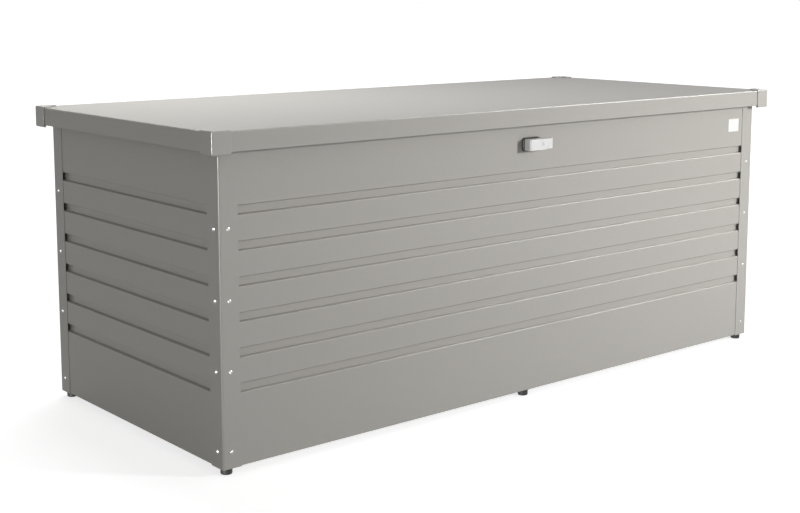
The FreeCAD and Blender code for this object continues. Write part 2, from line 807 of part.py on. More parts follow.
def latch_rod(side):
    """Flat rod from the cam to the catch; the left one is the right one turned over, with its own length."""
    pin = cam_throw / math.sqrt(2)
    half_slot = cam_pin_radius + rod_slot_clearance
    slot_low = pin - half_slot
    slot_high = cam_throw + half_slot
    eye_left = -pin - half_slot - rod_eye_wall
    eye_right = -pin + half_slot + rod_eye_wall
    eye_low = slot_low - rod_eye_wall / 2
    eye_high = slot_high + rod_eye_wall / 2
    half = rod_height / 2
    tip = rod_tip - side * lock_x
    arm_high = eye_low + rod_neck
    taper = rod_thickness
    outline = [(eye_left, eye_low), (rod_shoulder, eye_low), (rod_shoulder, -half), (tip - taper, -half),
               (tip, -half + taper), (tip, half - taper), (tip - taper, half),
               (rod_shoulder + rod_height, half), (rod_shoulder + rod_height / 2, arm_high),
               (eye_right, arm_high), (eye_right, eye_high), (eye_left, eye_high)]

    def place(x, z):
        return vector(lock_x + side * x, -rod_front, lock_z + side * z)

    radii = [0] * len(outline)
    for eye_corner in (0, 10, 11):
        radii[eye_corner] = eye_round
    body = rounded_face(outline, radii, place).extrude(vector(0, rod_thickness, 0))
    slot_left = -pin - half_slot
    slot_right = -pin + half_slot
    slot = rounded_face([(slot_left, slot_low), (slot_right, slot_low), (slot_right, slot_high),
                         (slot_left, slot_high)], [cam_pin_radius] * 4, place)
    return body.cut(slot.extrude(vector(0, rod_thickness, 0)))


def make_lock_inside():
    """Bearing body on the wall, cam on the spindle, two rods with their guides, and the lid's catches."""
    half_width = lock_body_width / 2
    half_height = lock_body_height / 2
    plate = plate_face(lock_x - half_width, lock_x + half_width, lock_z - half_height, lock_z + half_height,
                       eye_round, -front_inner)
    lock_body = plate.extrude(vector(0, lock_body_plate, 0))
    half = lock_boss / 2
    lock_body = lock_body.fuse(box(lock_x - half, lock_x + half, -front_inner, -body_rear_of_lock,
                                   lock_z - half, lock_z + half))
    radius = spindle_radius + pivot_clearance
    lock_body = lock_body.cut(rod_y(radius, -front_inner - over, -body_rear_of_lock + over, lock_x, lock_z))

    pin = cam_throw / math.sqrt(2)
    arm = box(-cam_throw, cam_throw, -cam_front, -cam_rear, -cam_arm_radius, cam_arm_radius)
    arm.rotate(vector(0, 0, 0), vector(0, 1, 0), 45)
    cam = arm.translated(vector(lock_x, 0, lock_z))
    for side in (-1, 1):
        x = lock_x - side * pin
        z = lock_z + side * pin
        cam = cam.fuse(rod_y(cam_arm_radius, -cam_front, -cam_rear, x, z))
        cam = cam.fuse(rod_y(cam_pin_radius, -cam_rear - over, -rod_rear + cam_gap, x, z))
    half = spindle_square / 2 + pivot_clearance / 2
    cam = cam.cut(box(lock_x - half, lock_x + half, -cam_front - over, -cam_rear + over,
                      lock_z - half, lock_z + half))

    parts = {"lock_body": lock_body, "lock_cam": cam.removeSplitter(), "latch_rod_right": latch_rod(1),
             "latch_rod_left": latch_rod(-1)}

    face = guide_x + bracket_sheet / 2
    inner = -rod_rear + guide_rim
    path = [(face - guide_foot, -front_inner), (face, -front_inner), (face, inner)]
    low = lock_z - guide_height / 2
    section = folded_face(path, bracket_sheet, angle_bends(bracket_bend), 1, lambda x, y: vector(x, y, low))
    guide = section.extrude(vector(0, 0, guide_height))
    gap = guide_clearance
    guide = guide.cut(box(0, face + over, -rod_front - gap, -rod_rear + gap, lock_z - rod_height / 2 - gap,
                          lock_z + rod_height / 2 + gap))

    face = lid_rail_x + bracket_sheet / 2
    high = lid_top - lid_rail_height - lid_rail_sheet
    middle = -(rod_front + rod_rear) / 2
    path = [(face - catch_foot, high), (face, high), (face, lock_z - catch_tail)]
    section = folded_face(path, bracket_sheet, angle_bends(bracket_bend), -1,
                          lambda x, z: vector(x, middle - catch_width / 2, z))
    catch = section.extrude(vector(0, catch_width, 0))
    gap = catch_clearance
    catch = catch.cut(box(0, face + over, -rod_front - gap, -rod_rear + gap, lock_z - rod_height / 2 - gap,
                          lock_z + rod_height / 2 + gap))
    parts["rod_guides"] = Part.makeCompound([guide, mirror_x(guide)])
    parts["lid_catch_right"] = catch
    parts["lid_catch_left"] = mirror_x(catch)
    return parts


def make_badge():
    plate = plate_face(badge_x - badge_width / 2, badge_x + badge_width / 2, badge_z - badge_height / 2,
                       badge_z + badge_height / 2, badge_round, -front_land - badge_thickness)
    return {"blank_badge": plate.extrude(vector(0, badge_thickness, 0))}


def main():
    os.makedirs("parts", exist_ok=True)
    groups = [make_walls, make_posts, make_post_screws, make_base_frame, make_floor, make_glides,
              make_stiffeners, make_seal, make_lid, make_lid_caps, make_hinges, make_struts,
              make_lock_outside, make_lock_inside, make_badge]
    for group in groups:
        for name, shape in group().items():
            shape.exportStep("parts/" + name + ".step")


main()
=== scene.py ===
import math

import bmesh
import bpy
from mathutils import Matrix, Vector


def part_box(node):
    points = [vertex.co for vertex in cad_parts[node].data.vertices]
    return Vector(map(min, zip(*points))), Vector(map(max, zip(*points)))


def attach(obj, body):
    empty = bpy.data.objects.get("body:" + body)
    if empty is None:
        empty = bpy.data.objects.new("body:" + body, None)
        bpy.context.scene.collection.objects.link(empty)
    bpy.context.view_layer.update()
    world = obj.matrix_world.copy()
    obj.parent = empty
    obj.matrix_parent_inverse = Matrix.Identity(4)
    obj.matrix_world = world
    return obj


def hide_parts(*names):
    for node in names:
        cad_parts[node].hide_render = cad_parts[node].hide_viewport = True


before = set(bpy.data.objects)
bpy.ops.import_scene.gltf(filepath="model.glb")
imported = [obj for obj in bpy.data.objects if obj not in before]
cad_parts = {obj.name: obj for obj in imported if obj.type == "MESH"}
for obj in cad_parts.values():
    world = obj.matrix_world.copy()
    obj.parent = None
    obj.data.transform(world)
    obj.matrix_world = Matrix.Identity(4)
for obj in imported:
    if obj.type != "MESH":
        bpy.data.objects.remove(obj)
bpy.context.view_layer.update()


# Base frame and stiffeners: folded channels and a crossbar under the floor, hat sections behind
# the grooves and under the lid. Zinc-coated sheet, folded and spot-welded, left unpainted, so it
# shows the dull patchwork of the zinc.
zinc_dark = (0.30, 0.31, 0.32, 1)
zinc_light = (0.42, 0.43, 0.44, 1)
zinc_patch = 0.011
zinc_grain = zinc_patch / 4
sections = ["base_rail_front", "base_rail_rear", "base_rail_left", "base_rail_right",
            "base_crossbar", "wall_stiffener_front_left", "wall_stiffener_front_right",
            "wall_stiffener_rear_left", "wall_stiffener_rear_right", "lid_rail_left",
            "lid_rail_middle", "lid_rail_right"]


class Finish:
    """A procedural material that is patterned on each piece's own Object coordinates."""

    def __init__(self, name, metallic, gloss=0.5, coat=0.0, coat_roughness=0.1):
        self.material = bpy.data.materials.new(name)
        self.material.use_nodes = True
        self.nodes = self.material.node_tree.nodes
        self.links = self.material.node_tree.links
        self.shader = self.nodes["Principled BSDF"]
        self.shader.inputs["Metallic"].default_value = metallic
        self.shader.inputs["Specular IOR Level"].default_value = gloss
        self.shader.inputs["Coat Weight"].default_value = coat
        self.shader.inputs["Coat Roughness"].default_value = coat_roughness
        self.place = self.nodes.new("ShaderNodeTexCoord").outputs["Object"]

    def stretched(self, scale):
        """Coordinates scaled along each axis, so that a pattern comes out long or short."""
        mapping = self.nodes.new("ShaderNodeMapping")
        mapping.inputs["Scale"].default_value = scale
        self.links.new(self.place, mapping.inputs["Vector"])
        return mapping.outputs["Vector"]

    def noise(self, size, detail=2.0, place=None):
        """Soft cloudy pattern whose patches are about size metres across."""
        texture = self.nodes.new("ShaderNodeTexNoise")
        texture.inputs["Scale"].default_value = 1 / size
        texture.inputs["Detail"].default_value = detail
        self.links.new(place or self.place, texture.inputs["Vector"])
        return texture.outputs["Fac"]

    def cells(self, size):
        """Random value for each crystal or flake of about size metres."""
        texture = self.nodes.new("ShaderNodeTexVoronoi")
        texture.inputs["Scale"].default_value = 1 / size
        self.links.new(self.place, texture.inputs["Vector"])
        split = self.nodes.new("ShaderNodeSeparateColor")
        self.links.new(texture.outputs["Color"], split.inputs["Color"])
        return split.outputs["Red"]

    def colour(self, value, dark, light):
        """Base colour between dark and light."""
        mix = self.nodes.new("ShaderNodeMix")
        mix.data_type = "RGBA"
        mix.inputs["A"].default_value = dark
        mix.inputs["B"].default_value = light
        self.links.new(value, mix.inputs["Factor"])
        self.links.new(mix.outputs["Result"], self.shader.inputs["Base Color"])

    def roughness(self, value, low, high):
        """Roughness between low and high."""
        spread = self.nodes.new("ShaderNodeMapRange")
        spread.inputs["To Min"].default_value = low
        spread.inputs["To Max"].default_value = high
        self.links.new(value, spread.inputs["Value"])
        self.links.new(spread.outputs["Result"], self.shader.inputs["Roughness"])

    def relief(self, value, depth):
        """Bumps that are depth metres high."""
        bump = self.nodes.new("ShaderNodeBump")
        bump.inputs["Distance"].default_value = depth
        bump.inputs["Strength"].default_value = 1.0
        self.links.new(value, bump.inputs["Height"])
        self.links.new(bump.outputs["Normal"], self.shader.inputs["Normal"])


def coat(finish, names):
    """Gives CAD nodes a finish."""
    for name in names:
        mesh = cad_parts[name].data
        mesh.materials.clear()
        mesh.materials.append(finish.material)


def galvanised_sheet():
    finish = Finish("galvanised_sheet", metallic=0.85)
    crystals = finish.cells(zinc_patch)
    finish.colour(crystals, zinc_dark, zinc_light)
    finish.roughness(crystals, low=0.38, high=0.52)
    finish.relief(finish.noise(zinc_grain), depth=0.00005)
    return finish


galvanised = galvanised_sheet()
coat(galvanised, sections)


# Floor: two zinc-coated sheets with raised ribs across, which lie on the base frame and meet on
# the crossbar.
coat(galvanised, ["floor_panel_left", "floor_panel_right"])


# Walls: one strip of sheet each, with six level grooves rolled in and folded edges at the top and
# bottom, sprayed warm grey with fine metal flake under a satin clear coat. The corner posts hold
# their ends.
wall_sheet = 0.0008
wall_bend = 0.0018
wall_bend_steps = 4
groove_count = 6
groove_pitch = 0.0734
groove_drop = 0.1400
groove_height = 0.0196
groove_depth = 0.0080
groove_draft = 0.0016
groove_floor_bend = 0.0008
floor_bend_steps = 3
top_flange = 0.0140
top_lip = 0.0120
bottom_flange = 0.0300
flange_gap = 0.0015
spindle_hole = 0.0055
bar_sides = 64
smoothed_below = 40.0
paint_dark = (0.345, 0.333, 0.311, 1)
paint_light = (0.375, 0.362, 0.338, 1)
flake = 0.0006
peel = 0.004
paint_cloud = peel * 8


def satin_paint():
    finish = Finish("satin_flake_paint", metallic=0.12, gloss=0.0, coat=0.28, coat_roughness=0.18)
    finish.colour(finish.cells(flake), paint_dark, paint_light)
    finish.roughness(finish.noise(paint_cloud), low=0.48, high=0.52)
    finish.relief(finish.noise(peel, detail=1.0), depth=0.00002)
    return finish


def middle(part):
    """Middle of an edge or face."""
    return sum((vert.co for vert in part.verts), Vector()) / len(part.verts)


def is_level(edge, tiny):
    return abs(edge.verts[0].co.z - edge.verts[1].co.z) < tiny


def pick(kind, test):
    """Selects only the edges or faces that pass the test, in edit mode."""
    bpy.ops.mesh.select_mode(type=kind)
    bpy.ops.mesh.select_all(action="DESELECT")
    shape = bmesh.from_edit_mesh(bpy.context.edit_object.data)
    for part in {"EDGE": shape.edges, "FACE": shape.faces}[kind]:
        if test(part):
            part.select_set(True)
    bmesh.update_edit_mesh(bpy.context.edit_object.data)


def begin(name, scale=(1, 1, 1)):
    """Names the primitive just added, gives it its size and opens it for editing."""
    piece = bpy.context.active_object
    piece.name = name
    piece.scale = scale
    bpy.ops.object.transform_apply(location=True, rotation=True, scale=True)
    bpy.ops.object.mode_set(mode="EDIT")
    return piece


def extrude(x, y, z):
    bpy.ops.mesh.extrude_region_move(TRANSFORM_OT_translate={"value": (x, y, z)})


def bend(radius, steps):
    """Rounds the selected square folds to an outer radius."""
    bpy.ops.mesh.bevel(offset=radius, offset_type="OFFSET", segments=steps, affect="EDGES",
                       profile=0.5)


def solidify(piece, sheet):
    """Gives a folded surface its sheet, on the inside."""
    modifier = piece.modifiers.new("sheet", "SOLIDIFY")
    modifier.thickness = sheet
    modifier.offset = -1
    modifier.use_even_offset = True
    bpy.ops.object.modifier_apply(modifier=modifier.name)


def activate(piece):
    bpy.ops.object.select_all(action="DESELECT")
    piece.select_set(True)
    bpy.context.view_layer.objects.active = piece


def copy_of(piece, name):
    """Copy with its own mesh."""
    twin = piece.copy()
    twin.data = piece.data.copy()
    twin.name = name
    bpy.context.collection.objects.link(twin)
    activate(twin)
    return twin


def cut_away(piece, cutter):
    """Cuts another object's shape out of the piece, and removes that object."""
    activate(piece)
    modifier = piece.modifiers.new("cut", "BOOLEAN")
    modifier.operation = "DIFFERENCE"
    modifier.solver = "EXACT"
    modifier.object = cutter
    bpy.ops.object.modifier_apply(modifier=modifier.name)
    bpy.data.objects.remove(cutter)


def round_bar(name, radius, start, end):
    """Round bar that starts at a point and runs back to a depth, along Y."""
    x, y, z = start
    bpy.ops.object.select_all(action="DESELECT")
    bpy.ops.mesh.primitive_cylinder_add(vertices=bar_sides, radius=radius, depth=end - y,
                                        location=(x, (y + end) / 2, z),
                                        rotation=(-math.pi / 2, 0, 0))
    piece = begin(name)
    bpy.ops.object.mode_set(mode="OBJECT")
    return piece


def finished(piece, finish, slot, body, *nodes):
    """Smooths bends, keeps flats flat, gives finish and body, hides nodes; slot is not used."""
    activate(piece)
    bpy.ops.object.transform_apply(location=True, rotation=True, scale=True)
    bpy.ops.object.shade_smooth_by_angle(angle=math.radians(smoothed_below))
    flats = piece.modifiers.new("flats", "WEIGHTED_NORMAL")
    flats.keep_sharp = True
    bpy.ops.object.modifier_apply(modifier=flats.name)
    piece.data.materials.clear()
    piece.data.materials.append(finish.material)
    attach(piece, body)
    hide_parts(*nodes)


def notch_ends(land, half_length, level, flange, tiny):
    """Cuts both ends off a folded edge, to clear the folded edges of the walls beside it."""
    reach = half_length - flange + groove_depth - flange_gap

    def on_flange(face):
        return middle(face).y > -land + tiny and abs(middle(face).z - level) < top_lip

    for side in (-1, 1):
        pick("FACE", on_flange)
        bpy.ops.mesh.bisect(plane_co=(side * reach, 0, 0), plane_no=(1, 0, 0))
    pick("FACE", lambda face: on_flange(face) and abs(middle(face).x) > reach)
    bpy.ops.mesh.delete(type="FACE")


def rolled_wall(name, land, half_length, floor, top, notched):
    """Grooved wall as it stands at the front, drawn out edge by edge from its lowest band."""
    lowest_groove = top - groove_drop - (groove_count - 1) * groove_pitch - groove_height
    bpy.ops.object.select_all(action="DESELECT")
    bpy.ops.mesh.primitive_plane_add(size=1, location=(0, -land, (floor + lowest_groove) / 2),
                                     rotation=(math.pi / 2, 0, 0))
    piece = begin(name, (2 * half_length, lowest_groove - floor, 1))
    tiny = groove_draft / 10
    pick("EDGE", lambda edge: middle(edge).z > lowest_groove - tiny)
    for groove in range(groove_count):
        extrude(0, groove_depth, groove_draft)
        extrude(0, 0, groove_height - 2 * groove_draft)
        extrude(0, -groove_depth, groove_draft)
        last = groove == groove_count - 1
        extrude(0, 0, groove_drop if last else groove_pitch - groove_height)
    extrude(0, top_flange, 0)
    extrude(0, 0, -top_lip)
    pick("EDGE", lambda edge: middle(edge).z < floor + tiny)
    extrude(0, bottom_flange, 0)
    if notched:
        notch_ends(land, half_length, top, top_flange, tiny)
        notch_ends(land, half_length, floor, bottom_flange, tiny)
    for depth, radius, steps in ((0, wall_bend, wall_bend_steps),
                                 (groove_depth, groove_floor_bend, floor_bend_steps)):
        pick("EDGE", lambda edge: not edge.is_boundary and is_level(edge, tiny)
             and abs(middle(edge).y + land - depth) < tiny)
        bend(radius, steps)
    bpy.ops.object.mode_set(mode="OBJECT")
    solidify(piece, wall_sheet)
    return piece


paint = satin_paint()
front_low, front_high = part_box("front_panel")
side_low, side_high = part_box("left_panel")
long_wall = rolled_wall("grooved_wall_front", -front_low.y, front_high.x, front_low.z,
                        front_high.z, notched=False)
short_wall = rolled_wall("grooved_wall_left", -side_low.x, side_high.y, side_low.z,
                         side_high.z, notched=True)
rear_wall = copy_of(long_wall, "grooved_wall_rear")
rear_wall.rotation_euler.z = math.pi
lock_low, lock_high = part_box("lock_body")
lock_axis = Vector(((lock_low.x + lock_high.x) / 2, 0, (lock_low.z + lock_high.z) / 2))
hole_start = (lock_axis.x, front_low.y - wall_sheet, lock_axis.z)
cut_away(long_wall, round_bar("cutter", spindle_hole, hole_start, front_low.y + 2 * wall_sheet))
right_wall = copy_of(short_wall, "grooved_wall_right")
right_wall.rotation_euler.z = math.pi / 2
short_wall.rotation_euler.z = -math.pi / 2
finished(long_wall, paint, "quartz_paint", "chest", "front_panel")
finished(rear_wall, paint, "quartz_paint", "chest", "rear_panel")
finished(short_wall, paint, "quartz_paint", "chest", "left_panel")
finished(right_wall, paint, "quartz_paint", "chest", "right_panel")


# Corner posts: a folded angle of the same painted sheet on each corner, over the ends of both
# walls, with its bend outwards and its cut edges dulled by the paint.
post_flange = 0.0450
post_sheet = 0.0012
post_bend = 0.0040
cut_edge = 0.0003
corners = {"rear_right": (1, 1), "rear_left": (-1, 1), "front_left": (-1, -1),
           "front_right": (1, -1)}


def soften(piece, width, steps=2, sharpest=50.0):
    """Rounds every edge that is sharper than so many degrees."""
    activate(piece)
    modifier = piece.modifiers.new("soft_edges", "BEVEL")
    modifier.width = width
    modifier.segments = steps
    modifier.limit_method = "ANGLE"
    modifier.angle_limit = math.radians(sharpest)
    bpy.ops.object.modifier_apply(modifier=modifier.name)


def folded_post(name, low, high):
    """Post of the rear right corner."""
    bpy.ops.object.select_all(action="DESELECT")
    bpy.ops.mesh.primitive_plane_add(size=1, rotation=(0, math.pi / 2, 0),
                                     location=(high.x, high.y - post_flange / 2,
                                               (low.z + high.z) / 2))
    piece = begin(name, (high.z - low.z, post_flange, 1))
    pick("EDGE", lambda edge: middle(edge).y > high.y - cut_edge)
    extrude(-post_flange, 0, 0)
    pick("EDGE", lambda edge: min(middle(edge).x - high.x, middle(edge).y - high.y) > -cut_edge)
    bend(post_bend, steps=8)
    bpy.ops.object.mode_set(mode="OBJECT")
    solidify(piece, post_sheet)
    soften(piece, cut_edge)
    return piece


def corner_copies(piece, corner):
    """Copies of the rear right piece for all four corners, turned round the box."""
    name = piece.name
    copies = {}
    for turns, (place, (side_x, side_y)) in enumerate(corners.items()):
        turn = Matrix.Rotation(turns * math.pi / 2, 4, "Z")
        there = Vector((side_x * corner.x, side_y * corner.y, corner.z))
        copies[place] = copy_of(piece, name + "_" + place)
        copies[place].matrix_world = Matrix.Translation(there - turn @ corner) @ turn
    bpy.data.objects.remove(piece)
    return copies


post_low, post_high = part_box("corner_post_rear_right")
post = folded_post("folded_post", post_low, post_high)
for place, piece in corner_copies(post, post_high).items():
    finished(piece, paint, "quartz_paint", "chest", "corner_post_" + place)


# Post screws: bright steel heads, domed over a pressed washer, four on each flange of each post.
# They hold the post to the two walls behind it.
head_radius = 0.0043
head_sides = 24
washer_height = 0.0005
dome_radius = 0.0036
dome_height = 0.0019
dome_rings = 5
screw_inset = 0.0215
lowest_screw = 0.0340
screw_dark = (0.40, 0.40, 0.39, 1)
screw_light = (0.47, 0.47, 0.46, 1)
screw_tarnish = head_radius / 3
screw_scuffs = head_radius / 6


def screw_metal():
    finish = Finish("screw_metal", metallic=0.8)
    finish.colour(finish.noise(screw_tarnish), screw_dark, screw_light)
    finish.roughness(finish.noise(screw_scuffs), low=0.24, high=0.30)
    return finish


def resize(share, centre):
    """Makes the selection wider or narrower in plan."""
    bpy.ops.transform.resize(value=(share, share, 1), center_override=centre)


def domed_head(name):
    """Head on the origin with its crown up, raised ring by ring from the washer."""
    bpy.ops.object.select_all(action="DESELECT")
    bpy.ops.mesh.primitive_circle_add(vertices=head_sides, radius=head_radius, fill_type="NGON")
    piece = begin(name)
    pick("FACE", lambda face: True)
    extrude(0, 0, washer_height)
    radius = dome_radius
    resize(radius / head_radius, (0, 0, 0))
    for ring in range(1, dome_rings + 1):
        climb = math.sin(math.pi / 2 * ring / (dome_rings + 1))
        before = math.sin(math.pi / 2 * (ring - 1) / (dome_rings + 1))
        extrude(0, 0, dome_height * (climb - before))
        smaller = dome_radius * math.sqrt(1 - climb ** 2)
        resize(smaller / radius, (0, 0, 0))
        radius = smaller
    bpy.ops.mesh.select_all(action="SELECT")
    bpy.ops.mesh.normals_make_consistent(inside=False)
    bpy.ops.object.mode_set(mode="OBJECT")
    return piece


highest_groove = front_high.z - groove_drop
groove_tops = [highest_groove - groove * groove_pitch for groove in range(groove_count)]
screw_levels = [top - (groove_height + groove_pitch) / 2 for top in groove_tops[::2]]
screw_levels.append(front_low.z + lowest_screw)
head = domed_head("screw_head")
heads = []
for side_x, side_y in corners.values():
    for level in screw_levels:
        on_front = Vector((side_x * (post_high.x - screw_inset), side_y * post_high.y, level))
        on_side = Vector((side_x * post_high.x, side_y * (post_high.y - screw_inset), level))
        for spot, out in ((on_front, (0, side_y, 0)), (on_side, (side_x, 0, 0))):
            facing_out = Vector(out).to_track_quat("Z", "Y").to_matrix().to_4x4()
            heads.append(copy_of(head, "screw_head_copy"))
            heads[-1].matrix_world = Matrix.Translation(spot) @ facing_out
bpy.data.objects.remove(head)
for piece in heads:
    piece.select_set(True)
bpy.ops.object.join()
screws = bpy.context.active_object
screws.name = "domed_screw_heads"
finished(screws, screw_metal(), "screw_steel", "chest", "post_screws")


# Feet: round moulded glides of black plastic under the corners and the middle of the long walls,
# with a rim against the folded edge and a rounded sole.
foot_radius = 0.0125
foot_sides = 48
foot_rim_radius = 0.0155
foot_rim = 0.0020
sole_round = 0.0030
moulded_edge = 0.0004
plastic_dark = (0.010, 0.010, 0.010, 1)
plastic_light = (0.016, 0.016, 0.016, 1)


def black_moulding():
    finish = Finish("black_moulding", metallic=0.0)
    finish.colour(finish.noise(size=0.006), plastic_dark, plastic_light)
    finish.roughness(finish.noise(size=0.003), low=0.38, high=0.50)
    finish.relief(finish.noise(size=0.0006), depth=0.00003)
    return finish


def moulded_foot(name, low, high):
    """Round shank, widened at its top into the rim and rounded at its sole."""
    centre = (low + high) / 2
    shank = high.z - low.z - foot_rim
    bpy.ops.object.select_all(action="DESELECT")
    bpy.ops.mesh.primitive_cylinder_add(vertices=foot_sides, radius=foot_radius, depth=shank,
                                        location=(centre.x, centre.y,
                                                  (low.z + high.z - foot_rim) / 2))
    piece = begin(name)
    pick("FACE", lambda face: middle(face).z > high.z - foot_rim - moulded_edge)
    extrude(0, 0, 0)
    resize(foot_rim_radius / foot_radius, centre)
    extrude(0, 0, foot_rim)
    pick("EDGE", lambda edge: all(vert.co.z < low.z + moulded_edge for vert in edge.verts))
    bend(sole_round, steps=6)
    bpy.ops.object.mode_set(mode="OBJECT")
    soften(piece, moulded_edge)
    return piece


moulding = black_moulding()
for row in ("front", "rear"):
    for column in ("left", "middle", "right"):
        node = "glide_" + row + "_" + column
        foot = moulded_foot("moulded_foot_" + row + "_" + column, *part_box(node))
        finished(foot, moulding, "black_plastic", "chest", node)


# Rim seal: four lengths of matt rubber section, butted at the corners, pressed on the walls' top
# edge under the lid.
rubber_dark = (0.014, 0.014, 0.014, 1)
rubber_light = (0.024, 0.024, 0.023, 1)


def matt_rubber():
    finish = Finish("matt_rubber", metallic=0.0)
    finish.colour(finish.noise(size=0.02), rubber_dark, rubber_light)
    finish.roughness(finish.noise(size=0.004), low=0.62, high=0.78)
    finish.relief(finish.noise(size=0.0008), depth=0.00004)
    return finish


coat(matt_rubber(), ["rim_seal"])


# Lid: one painted sheet folded down all round into a deep rim, with a hem turned in at its foot.
# Its corners are closed by the moulded caps.
lid_sheet = 0.0008
lid_round = 0.0030
rim_round = 0.0016
rim_hem = 0.0080
squarely = 0.9


def facing(face, x, y, z):
    """Whether a face looks squarely in a direction."""
    return face.normal.dot(Vector((x, y, z))) > squarely


def folded_lid(name, low, high):
    """Upturned tray: its foot is drawn in to the hem, then the folds are rounded."""
    bpy.ops.object.select_all(action="DESELECT")
    bpy.ops.mesh.primitive_cube_add(size=1, location=(low + high) / 2)
    piece = begin(name, high - low)
    tiny = lid_sheet / 10

    def at_sides(edge):
        """Whether an edge is at the left or right side, and whether it is at the front or rear."""
        return abs(middle(edge).x) > high.x - tiny, abs(middle(edge).y) > high.y - tiny

    pick("FACE", lambda face: facing(face, 0, 0, -1))
    bpy.ops.mesh.delete(type="ONLY_FACE")
    pick("EDGE", lambda edge: edge.is_boundary)
    extrude(0, 0, 0)
    bpy.ops.transform.resize(value=(1 - rim_hem / high.x, 1 - rim_hem / high.y, 1),
                             center_override=(0, 0, low.z))
    pick("EDGE", lambda edge: abs(middle(edge).z - low.z) < tiny and any(at_sides(edge)))
    bend(rim_round, steps=4)
    pick("EDGE", lambda edge: middle(edge).z > high.z - tiny or all(at_sides(edge)))
    bend(lid_round, steps=6)
    bpy.ops.object.mode_set(mode="OBJECT")
    solidify(piece, lid_sheet)
    return piece


lid_low, lid_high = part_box("lid_panel")
lid = folded_lid("folded_lid", lid_low, lid_high)
finished(lid, paint, "quartz_paint", "lid", "lid_panel")


# Lid caps: moulded plastic corners, coated to match the lid. They wrap its top edge, its rim and
# its hem, and have rounded outer edges.
cap_leg = 0.0450
cap_wall = 0.0025
cap_lip = 0.0220
cap_hem = 0.0060
cap_round = 0.0042
cap_edge_round = 0.0036
cap_end_round = 0.0008
cap_clearance = 0.00005
cap_paint_dark = (0.352, 0.340, 0.318, 1)
cap_paint_light = (0.380, 0.367, 0.343, 1)


def coated_moulding():
    finish = Finish("coated_moulding", metallic=0.10, gloss=0.0, coat=0.45, coat_roughness=0.15)
    finish.colour(finish.cells(flake), cap_paint_dark, cap_paint_light)
    finish.roughness(finish.noise(size=0.006), low=0.46, high=0.50)
    finish.relief(finish.noise(size=0.002), depth=0.00001)
    return finish


def block(name, low, high):
    """Plain block between two corners, left in edit mode to be shaped."""
    low = Vector(low)
    high = Vector(high)
    bpy.ops.object.select_all(action="DESELECT")
    bpy.ops.mesh.primitive_cube_add(size=1, location=(low + high) / 2)
    return begin(name, high - low)


def cutting_block(low, high):
    piece = block("cutter", low, high)
    bpy.ops.object.mode_set(mode="OBJECT")
    return piece


def moulded_cap(name, low, high, lid_corner, rim_foot):
    """Cap of the rear right corner: a rounded block with the lid's corner cut out of it."""
    tiny = cap_wall / 100
    piece = block(name, low, high)
    pick("EDGE", lambda edge: middle(edge).x > high.x - tiny and middle(edge).y > high.y - tiny)
    bend(cap_round, steps=8)
    corner_start_x = high.x - cap_round - tiny
    corner_start_y = high.y - cap_round - tiny
    pick("EDGE", lambda edge: is_level(edge, tiny) and (
        min(vert.co.x for vert in edge.verts) > corner_start_x
        or min(vert.co.y for vert in edge.verts) > corner_start_y))
    bend(cap_edge_round, steps=6)
    bpy.ops.object.mode_set(mode="OBJECT")
    inside_x = low.x - cap_leg
    inside_y = low.y - cap_leg
    fit = cap_clearance
    cut_away(piece, cutting_block((inside_x, inside_y, rim_foot - fit),
                                  (lid_corner.x + fit, lid_corner.y + fit, lid_corner.z + fit)))
    cut_away(piece, cutting_block((inside_x, inside_y, lid_corner.z),
                                  (high.x - cap_lip, high.y - cap_lip, high.z + cap_wall)))
    cut_away(piece, cutting_block((inside_x, inside_y, low.z - cap_wall),
                                  (high.x - cap_hem, high.y - cap_hem, rim_foot)))
    soften(piece, cap_end_round, steps=3, sharpest=60)
    return piece


cap_low, cap_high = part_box("lid_cap_rear_right")
cap = moulded_cap("moulded_lid_cap", cap_low, cap_high, lid_high, lid_low.z)
cap_finish = coated_moulding()
for place, piece in corner_copies(cap, cap_high).items():
    finished(piece, cap_finish, "cap_plastic", "lid", "lid_cap_" + place)


# Hinges and struts: two steel butt hinges behind the rear wall, one leaf on the wall and one under
# the lid, turning on plain pins, and two gas springs with black tubes, polished rods and pressed
# brackets that hold the lid up.
pressed_edge = 0.0003
merge_distance = 0.00001
flat_within = 1.0
steel_dark = (0.62, 0.62, 0.63, 1)
steel_light = (0.70, 0.70, 0.70, 1)
enamel_dark = (0.012, 0.012, 0.013, 1)
enamel_light = (0.018, 0.018, 0.019, 1)
drawn_along_z = (1, 1, 0.1)


def polished_steel():
    finish = Finish("polished_steel", metallic=1.0)
    finish.colour(finish.noise(size=0.01), steel_dark, steel_light)
    streaks = finish.noise(size=0.002, place=finish.stretched(drawn_along_z))
    finish.roughness(streaks, low=0.10, high=0.18)
    return finish


def strut_enamel():
    finish = Finish("strut_enamel", metallic=0.0, coat=0.6, coat_roughness=0.08)
    finish.colour(finish.noise(size=0.01), enamel_dark, enamel_light)
    finish.roughness(finish.noise(size=0.004), low=0.28, high=0.36)
    finish.relief(finish.noise(size=0.002), depth=0.00001)
    return finish


def dressed(node, finish, slot, body):
    """Stands for a CAD node with the same form, its facets merged and its cut edges softened."""
    piece = bpy.data.objects.new("dressed_" + node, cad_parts[node].data.copy())
    bpy.context.collection.objects.link(piece)
    activate(piece)
    bpy.ops.object.mode_set(mode="EDIT")
    bpy.ops.mesh.select_all(action="SELECT")
    bpy.ops.mesh.remove_doubles(threshold=merge_distance)
    bpy.ops.mesh.dissolve_limited(angle_limit=math.radians(flat_within))
    bpy.ops.object.mode_set(mode="OBJECT")
    soften(piece, pressed_edge)
    finished(piece, finish, slot, body, node)


